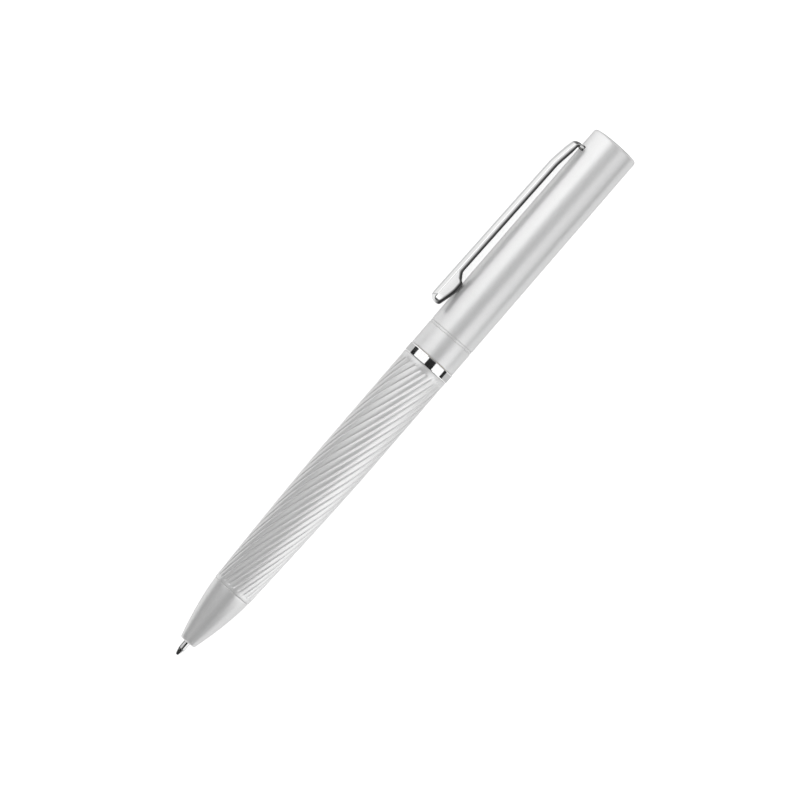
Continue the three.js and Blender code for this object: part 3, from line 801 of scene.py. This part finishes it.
lacquer = pearl_lacquer()
chrome = polished_chrome()
carbide = turned_metal("polished_carbide", (0.42, 0.43, 0.45), (0.48, 0.49, 0.51), roughness=0.16)
brass = turned_metal("turned_brass", (0.66, 0.46, 0.18), (0.74, 0.54, 0.24), roughness=0.28)
steel = drawn_metal("drawn_steel", (0.58, 0.59, 0.6), (0.64, 0.65, 0.66), roughness=0.24)
black_acetal = moulded_plastic("black_acetal", (0.024, 0.025, 0.028), (0.034, 0.036, 0.04), roughness=0.42)
white_acetal = moulded_plastic("white_acetal", (0.77, 0.76, 0.73), (0.82, 0.81, 0.78), roughness=0.48)

add_piece("nose_shell", nose_shell(), lacquer, "lower", "nose_cone")
add_piece("fluted_barrel", fluted_barrel(), lacquer, "lower", "lower_barrel")
add_piece("ring_trim", centre_ring(), chrome, "lower", "centre_ring")
cut_clip_slot(add_piece("upper_shell", upper_shell(), lacquer, "upper", "upper_barrel"))
add_piece("pocket_clip", clip(), clip_chrome_painted_shade(), "clip", "clip")
add_piece("ball_tip", refill_tip(), chrome, "refill", "refill_tip")
add_piece("ball", writing_ball(), carbide, "ball", "writing_ball")

set_material(brass, "thread_bushing", "guide_tube", "drive_sleeve", "cam_tube")
set_material(steel, "snap_ring", "cross_pin", "refill_tube")
set_material(black_acetal, "clip_retainer", "carrier")
set_material(white_acetal, "friction_washer", "refill_plug")
set_material(paste_ink(), "ink_column")

# Camera: it looks square at the pen's axis, and the clip leans toward it out of the picture's plane.
CLIP_TURN = math.radians(19.75)
PICTURE_TILT = math.radians(49.2)
CAMERA_DISTANCE = 1.05
PICTURE_WIDTH = 164.17 * MM
TARGET_X = -0.43 * MM
TARGET_OFFSET = 0.58 * MM

TO_CAMERA = Matrix.Rotation(ROLL + CLIP_TURN - math.pi / 2, 3, "X") @ Vector((0, 0, 1))
CLIP_UP = TO_CAMERA.cross(TO_TOP)
picture_right = math.cos(PICTURE_TILT) * TO_TOP - math.sin(PICTURE_TILT) * CLIP_UP
picture_up = math.sin(PICTURE_TILT) * TO_TOP + math.cos(PICTURE_TILT) * CLIP_UP
target = AXIS_PLACE - TARGET_X * TO_TOP - TARGET_OFFSET * CLIP_UP

camera_data = bpy.data.cameras.new("camera")
camera_data.lens = camera_data.sensor_width * CAMERA_DISTANCE / PICTURE_WIDTH
camera = bpy.data.objects.new("camera", camera_data)
scene.collection.objects.link(camera)
camera.matrix_world = (
    Matrix.Translation(target + CAMERA_DISTANCE * TO_CAMERA)
    @ Matrix((picture_right, picture_up, TO_CAMERA)).transposed().to_4x4()
)
scene.camera = camera

# Studio, in metres: a pale floor, three soft lamps, and cards and flags that only reflections see.
FLOOR_SIZE = 6
FLOOR_GREY = 0.8
FLOOR_GLOW = 0.7
AMBIENT_LEVEL = 0.47
REFLECTED_LEVEL = 0.92
LAMP_DISTANCE = 0.7
LAMP_LENGTH = 1.2
KEY_WIDTH = 0.65
KEY_LEVEL = 0.3
SIDE_LAMP_WIDTH = 0.4
FRONT_LEAN = -70
FRONT_LEVEL = 2.2
BACK_LEAN = 60
BACK_LEVEL = 0.42
PANEL_DISTANCE = 0.15
PANEL_STEPS = 6

# Where the cards and flags begin and end along the pen
REAR_FLAG_END_X = -0.4
PANEL_REAR_X = -0.26
CROWN_CARD_FRONT_X = -0.045
RING_CARD_REAR_X = -0.018
RIM_CARD_REAR_X = -0.0155
RIM_CARD_FRONT_X = -0.005
PANEL_SPLIT_X = 0
EDGE_CARD_FRONT_X = 0.055
TIP_CARD_REAR_X = 0.0745
TIP_CARD_FRONT_X = 0.079
PANEL_FRONT_X = 0.155
FRONT_FLAG_END_X = 0.3
UPPER_RUN = (PANEL_REAR_X, RING_CARD_REAR_X)
RIM_RUN = (RIM_CARD_REAR_X, RIM_CARD_FRONT_X)
RING_RUN = (RING_CARD_REAR_X, PANEL_SPLIT_X)
LOWER_RUN = (PANEL_SPLIT_X, TIP_CARD_REAR_X)
TIP_RUN = (TIP_CARD_REAR_X, TIP_CARD_FRONT_X)
NOSE_RUN = (TIP_CARD_FRONT_X, PANEL_FRONT_X)
CROWN_RUN = (PANEL_REAR_X, CROWN_CARD_FRONT_X)
LOW_EDGE_RUN = (PANEL_SPLIT_X, EDGE_CARD_FRONT_X)
MIDDLE_NOSE_RUN = (TIP_CARD_REAR_X, PANEL_FRONT_X)
CLIP_FLAG_RUN = (RING_CARD_REAR_X, PANEL_FRONT_X)
FAR_FLAG_RUN = (PANEL_REAR_X, PANEL_SPLIT_X)
FRONT_FLAG_RUN = (PANEL_FRONT_X, FRONT_FLAG_END_X)
REAR_FLAG_RUN = (REAR_FLAG_END_X, PANEL_REAR_X)

# Their edges round the pen, in degrees from the camera's side; negative is the clip's side
CLIP_BACK_FLAG_START = -205
CLIP_BACK_CARD_END = -137
CROWN_CARD_START = -135
CROWN_CARD_END = -105
CLIP_FLAG_START = -99
CLIP_CARD_START = -73
CLIP_LOWER_START = -62
CLIP_CARD_SPLIT = -42
CLIP_LOWER_END = -28
CLIP_UPPER_END = -21
CLIP_RING_END = -10
FAR_CARD_START = 27.5
BLADE_CARD_START = 33
FAR_LOWER_START = 36
BLADE_CARD_END = 46
FAR_CARD_END = 78
FAR_FLAG_END = 97
LOW_EDGE_END = 105
BACK_EDGE = 165

# Their brightness
CLIP_BACK_LEVEL = 0.66
CLIP_CROWN_LEVEL = 1.0
CLIP_EDGE_LEVEL = 1.25
CLIP_OUTER_LEVEL = 1.3
CLIP_INNER_LEVEL = 1.4
CLIP_LOWER_LEVEL = 0.3
CLIP_NOSE_LEVEL = 0.1
FAR_UPPER_LEVEL = 0.75
BLADE_CARD_LEVEL = 1.0
FAR_LOWER_LEVEL = 1.6
FAR_NOSE_LEVEL = 0.18
RING_CARD_LEVEL = 1.15
RIM_CARD_LEVEL = 0.6
TIP_CARD_LEVEL = 0.9
FLAG_LEVEL = 0.02
DIM_FLAG_LEVEL = 0.22


def empty_material(name):
    """A material with an empty node tree but for its output."""
    material = bpy.data.materials.new(name)
    material.use_nodes = True
    tree = material.node_tree
    tree.nodes.clear()
    output = tree.nodes.new("ShaderNodeOutputMaterial")
    return material, tree, output.inputs["Surface"]


def plain_emission(name, level):
    material, tree, surface = empty_material(name)
    emission = tree.nodes.new("ShaderNodeEmission")
    emission.inputs["Strength"].default_value = level
    tree.links.new(emission.outputs["Emission"], surface)
    return material


def around_pen(degrees):
    """A direction square to the pen, turned from the camera's side; positive is away from the clip."""
    turn = math.radians(degrees)
    return math.cos(turn) * TO_CAMERA - math.sin(turn) * CLIP_UP


def add_panel(name, start, end, run, level):
    """A bright card or dark flag between two angles and along a run, seen in reflections alone."""
    bm = bmesh.new()
    rows = []
    for step in range(PANEL_STEPS + 1):
        place = AXIS_PLACE + PANEL_DISTANCE * around_pen(mix(start, end, step / PANEL_STEPS))
        rows.append([bm.verts.new((x, place.y, place.z)) for x in run])
    for first, second in zip(rows, rows[1:]):
        bm.faces.new((first[0], first[1], second[1], second[0]))
    panel = mesh_object(name, bm, plain_emission(name, level))
    panel.visible_camera = False
    panel.visible_diffuse = False
    panel.visible_transmission = False
    panel.visible_shadow = False


def floor_material():
    """A pale surface that also glows where the camera sees it, so that it shows white."""
    material, tree, surface = empty_material("floor")
    diffuse = tree.nodes.new("ShaderNodeBsdfDiffuse")
    diffuse.inputs["Color"].default_value = (*grey(FLOOR_GREY), 1)
    glow = tree.nodes.new("ShaderNodeEmission")
    light_path = tree.nodes.new("ShaderNodeLightPath")
    glow_level = tree.nodes.new("ShaderNodeMath")
    glow_level.operation = "MULTIPLY"
    glow_level.inputs[1].default_value = FLOOR_GLOW
    tree.links.new(light_path.outputs["Is Camera Ray"], glow_level.inputs[0])
    tree.links.new(glow_level.outputs["Value"], glow.inputs["Strength"])
    both = tree.nodes.new("ShaderNodeAddShader")
    tree.links.new(diffuse.outputs["BSDF"], both.inputs[0])
    tree.links.new(glow.outputs["Emission"], both.inputs[1])
    tree.links.new(both.outputs["Shader"], surface)
    return material


def add_floor():
    bm = bmesh.new()
    bmesh.ops.create_grid(bm, x_segments=1, y_segments=1, size=FLOOR_SIZE / 2)
    floor = mesh_object("floor", bm, floor_material())
    floor.visible_glossy = False


def add_lamp(name, lean, width, level):
    """A soft lamp along the pen, leaning from straight overhead toward +Y by some degrees."""
    lamp_data = bpy.data.lights.new(name, "AREA")
    lamp_data.shape = "RECTANGLE"
    lamp_data.size = LAMP_LENGTH
    lamp_data.size_y = width
    lamp_data.energy = level * math.pi * LAMP_LENGTH * width
    lamp = bpy.data.objects.new(name, lamp_data)
    scene.collection.objects.link(lamp)
    turned = Matrix.Translation(AXIS_PLACE) @ Matrix.Rotation(-math.radians(lean), 4, "X")
    lamp.matrix_world = turned @ Matrix.Translation((0, 0, LAMP_DISTANCE))
    lamp.visible_glossy = False


def set_world():
    """White to the camera, a little dimmer in reflections, and dimmer still as diffuse light."""
    world = bpy.data.worlds.new("studio")
    world.use_nodes = True
    scene.world = world
    tree = world.node_tree
    background = tree.nodes["Background"]
    light_path = tree.nodes.new("ShaderNodeLightPath")
    reflected = tree.nodes.new("ShaderNodeMapRange")
    reflected.inputs["To Min"].default_value = AMBIENT_LEVEL
    reflected.inputs["To Max"].default_value = REFLECTED_LEVEL
    tree.links.new(light_path.outputs["Is Glossy Ray"], reflected.inputs["Value"])
    seen = tree.nodes.new("ShaderNodeMapRange")
    seen.inputs["To Max"].default_value = 1
    tree.links.new(light_path.outputs["Is Camera Ray"], seen.inputs["Value"])
    tree.links.new(reflected.outputs["Result"], seen.inputs["To Min"])
    tree.links.new(seen.outputs["Result"], background.inputs["Strength"])
    background.inputs["Color"].default_value = (1, 1, 1, 1)


# Bright cards
add_panel("panel_behind_clip", -BACK_EDGE, CLIP_BACK_CARD_END, UPPER_RUN, CLIP_BACK_LEVEL)
add_panel("panel_clip_crown", CROWN_CARD_START, CROWN_CARD_END, CROWN_RUN, CLIP_CROWN_LEVEL)
add_panel("panel_clip_side_edge", CROWN_CARD_END, CLIP_CARD_START, UPPER_RUN, CLIP_EDGE_LEVEL)
add_panel("panel_clip_side_outer", CLIP_CARD_START, CLIP_CARD_SPLIT, UPPER_RUN, CLIP_OUTER_LEVEL)
add_panel("panel_clip_side_inner", CLIP_CARD_SPLIT, CLIP_UPPER_END, UPPER_RUN, CLIP_INNER_LEVEL)
add_panel("panel_clip_side_rim", -BACK_EDGE, CLIP_FLAG_START, RIM_RUN, RIM_CARD_LEVEL)
add_panel("panel_far_side_rim", FAR_FLAG_END, BACK_EDGE, RIM_RUN, RIM_CARD_LEVEL)
add_panel("panel_clip_side_ring", CLIP_CARD_START, CLIP_RING_END, RING_RUN, RING_CARD_LEVEL)
add_panel("panel_clip_side_lower", CLIP_LOWER_START, CLIP_LOWER_END, LOWER_RUN, CLIP_LOWER_LEVEL)
add_panel("panel_clip_side_tip", CLIP_CARD_START, CLIP_RING_END, TIP_RUN, TIP_CARD_LEVEL)
add_panel("panel_clip_side_nose", CLIP_CARD_START, CLIP_RING_END, NOSE_RUN, CLIP_NOSE_LEVEL)
add_panel("panel_far_side_inner", FAR_CARD_START, BLADE_CARD_START, UPPER_RUN, FAR_UPPER_LEVEL)
add_panel("panel_far_side_blade", BLADE_CARD_START, BLADE_CARD_END, UPPER_RUN, BLADE_CARD_LEVEL)
add_panel("panel_far_side_outer", BLADE_CARD_END, FAR_CARD_END, UPPER_RUN, FAR_UPPER_LEVEL)
add_panel("panel_far_side_ring", FAR_CARD_START, FAR_CARD_END, RING_RUN, RING_CARD_LEVEL)
add_panel("panel_far_side_lower", FAR_LOWER_START, FAR_CARD_END, LOWER_RUN, FAR_LOWER_LEVEL)
add_panel("panel_far_side_low_edge", FAR_CARD_END, LOW_EDGE_END, LOW_EDGE_RUN, FAR_LOWER_LEVEL)
add_panel("panel_far_side_tip", FAR_LOWER_START, FAR_CARD_END, TIP_RUN, TIP_CARD_LEVEL)
add_panel("panel_far_side_nose", FAR_LOWER_START, FAR_CARD_END, NOSE_RUN, FAR_NOSE_LEVEL)

# Dark flags between and beyond them
add_panel("flag_middle_upper", CLIP_UPPER_END, FAR_CARD_START, UPPER_RUN, DIM_FLAG_LEVEL)
add_panel("flag_middle_ring", CLIP_RING_END, FAR_CARD_START, RING_RUN, FLAG_LEVEL)
add_panel("flag_middle_lower", CLIP_LOWER_END, FAR_LOWER_START, LOWER_RUN, FLAG_LEVEL)
add_panel("flag_middle_nose", CLIP_RING_END, FAR_LOWER_START, MIDDLE_NOSE_RUN, FLAG_LEVEL)
add_panel("flag_clip_side", CLIP_FLAG_START, CLIP_CARD_START, CLIP_FLAG_RUN, FLAG_LEVEL)
add_panel("flag_clip_side_lower", CLIP_CARD_START, CLIP_LOWER_START, LOWER_RUN, FLAG_LEVEL)
add_panel("flag_far_side", FAR_CARD_END, FAR_FLAG_END, FAR_FLAG_RUN, FLAG_LEVEL)
add_panel("flag_behind_clip", CLIP_BACK_FLAG_START, -BACK_EDGE, UPPER_RUN, DIM_FLAG_LEVEL)
add_panel("flag_front", CLIP_FLAG_START, FAR_FLAG_END, FRONT_FLAG_RUN, FLAG_LEVEL)
add_panel("flag_rear", CLIP_FLAG_START, FAR_FLAG_END, REAR_FLAG_RUN, FLAG_LEVEL)

add_floor()
add_lamp("key", lean=0, width=KEY_WIDTH, level=KEY_LEVEL)
add_lamp("front", FRONT_LEAN, SIDE_LAMP_WIDTH, FRONT_LEVEL)
add_lamp("back", BACK_LEAN, SIDE_LAMP_WIDTH, BACK_LEVEL)
set_world()
